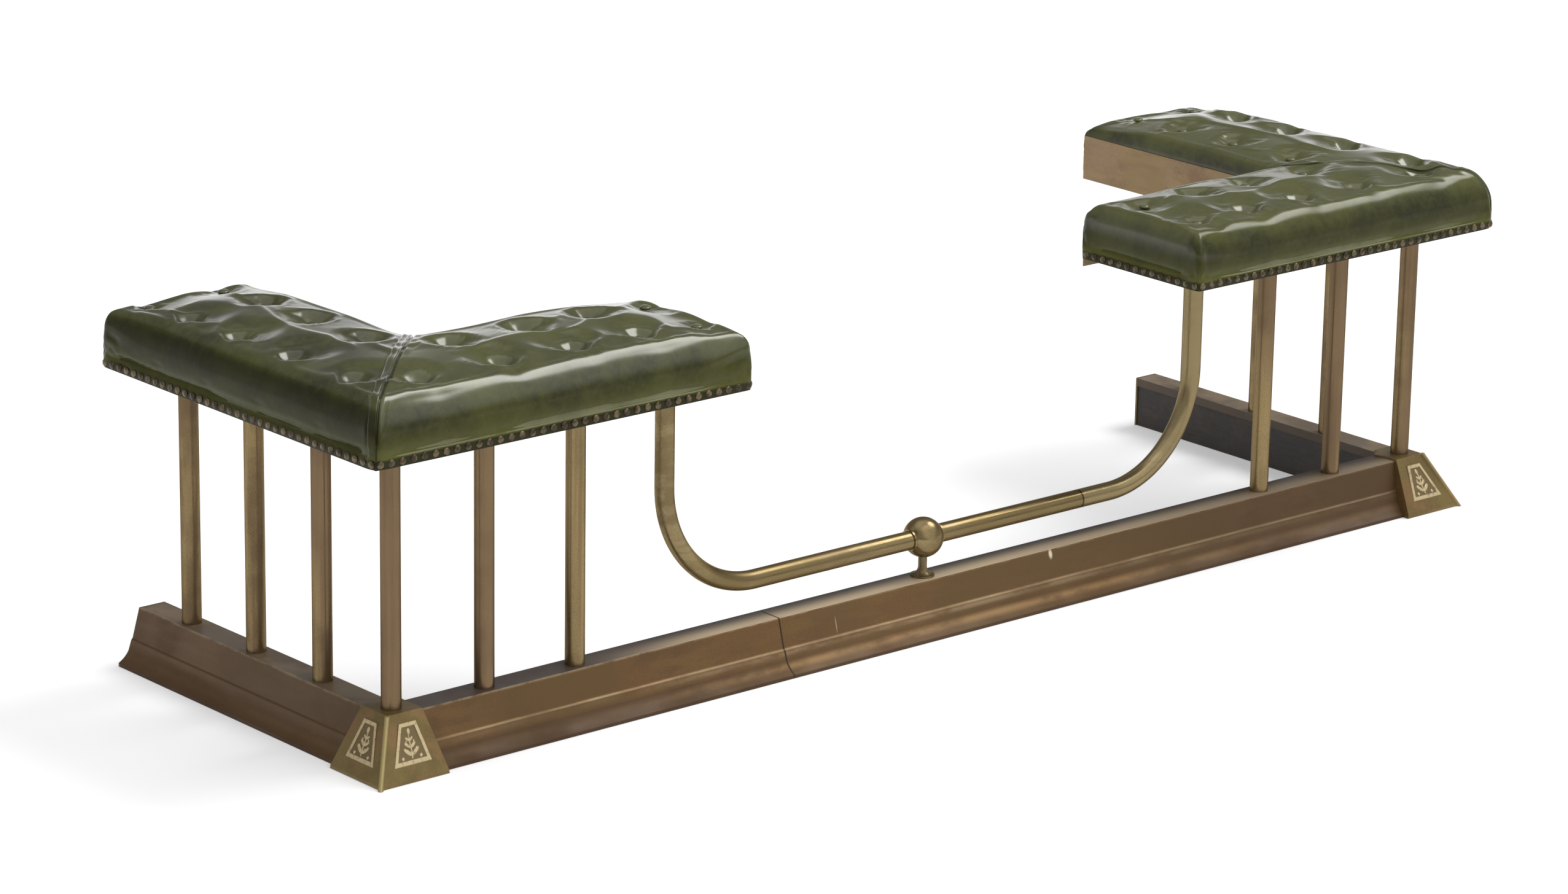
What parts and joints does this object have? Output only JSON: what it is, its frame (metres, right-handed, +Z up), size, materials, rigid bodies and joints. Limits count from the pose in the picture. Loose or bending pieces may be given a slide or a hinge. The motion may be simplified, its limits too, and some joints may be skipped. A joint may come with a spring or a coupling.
{
  "type": "fire fender",
  "caption": "U-shaped hearth fender: moulded brass kerb with corner castings, upright tubes, a dropped centre rail with a ball, and two L-shaped buttoned leather seats.",
  "frame": {"origin": "on the floor, under the middle of the fender's box", "axes": "+X along the fender's width, +Y towards the fireplace, +Z up"},
  "size_m": [1.9488, 0.6048, 0.495],
  "materials": {
    "tube_brass": "aged lacquered brass tube, satin, patchy brown patina",
    "cast_brass": "cast brass, satin, olive patina with pale rubbed high spots",
    "plate_brass": "dull brass plate",
    "strip_brass": "flat brass strip, dull, brown",
    "plinth_bronze": "bronzed sheet brass, satin, with paler rubbed arrises",
    "dark_core": "timber painted near black, matt",
    "nail_brass": "antiqued domed nail heads with dark edges",
    "leather": "dark olive green hide, waxed and glossy, fine grain",
    "button_leather": "the same hide over domed buttons",
    "seat_board": "plain board, hidden",
    "lining": "black lining cloth",
    "iron": "blackened mild steel"
  },
  "bodies": {
    "root": {"front_plinth_left": "plinth_bronze", "front_plinth_right": "plinth_bronze", "front_core_left": "dark_core", "front_core_right": "dark_core", "joint_strap": "plate_brass", "left_return_plinth": "plinth_bronze", "left_return_core": "dark_core", "left_end_plate": "plate_brass", "left_corner_block": "cast_brass", "right_return_plinth": "plinth_bronze", "right_return_core": "dark_core", "right_end_plate": "plate_brass", "right_corner_block": "cast_brass", "left_corner_post": "tube_brass", "left_front_post_1": "tube_brass", "left_front_post_2": "tube_brass", "left_return_post_1": "tube_brass", "left_return_post_2": "tube_brass", "left_return_post_3": "tube_brass", "right_corner_post": "tube_brass", "right_front_post_1": "tube_brass", "right_front_post_2": "tube_brass", "right_return_post_1": "tube_brass", "right_return_post_2": "tube_brass", "right_return_post_3": "tube_brass", "left_rail_tube": "tube_brass", "right_rail_tube": "tube_brass", "centre_rail": "tube_brass", "rail_ball": "tube_brass", "rail_foot": "tube_brass", "rail_plugs": "iron", "left_tie_rods": "iron", "left_nuts_and_washers": "iron", "left_front_bar": "iron", "left_return_bar": "iron", "left_lining": "lining", "left_front_board": "seat_board", "left_return_board": "seat_board", "left_seat_screws": "iron", "left_front_strip": "strip_brass", "left_return_strip": "strip_brass", "left_front_cushion": "leather", "left_return_cushion": "leather", "left_buttons": "button_leather", "left_nails": "nail_brass", "right_tie_rods": "iron", "right_nuts_and_washers": "iron", "right_front_bar": "iron", "right_return_bar": "iron", "right_lining": "lining", "right_front_board": "seat_board", "right_return_board": "seat_board", "right_seat_screws": "iron", "right_front_strip": "strip_brass", "right_return_strip": "strip_brass", "right_front_cushion": "leather", "right_return_cushion": "leather", "right_buttons": "button_leather", "right_nails": "nail_brass"}
  },
  "joints": []
}
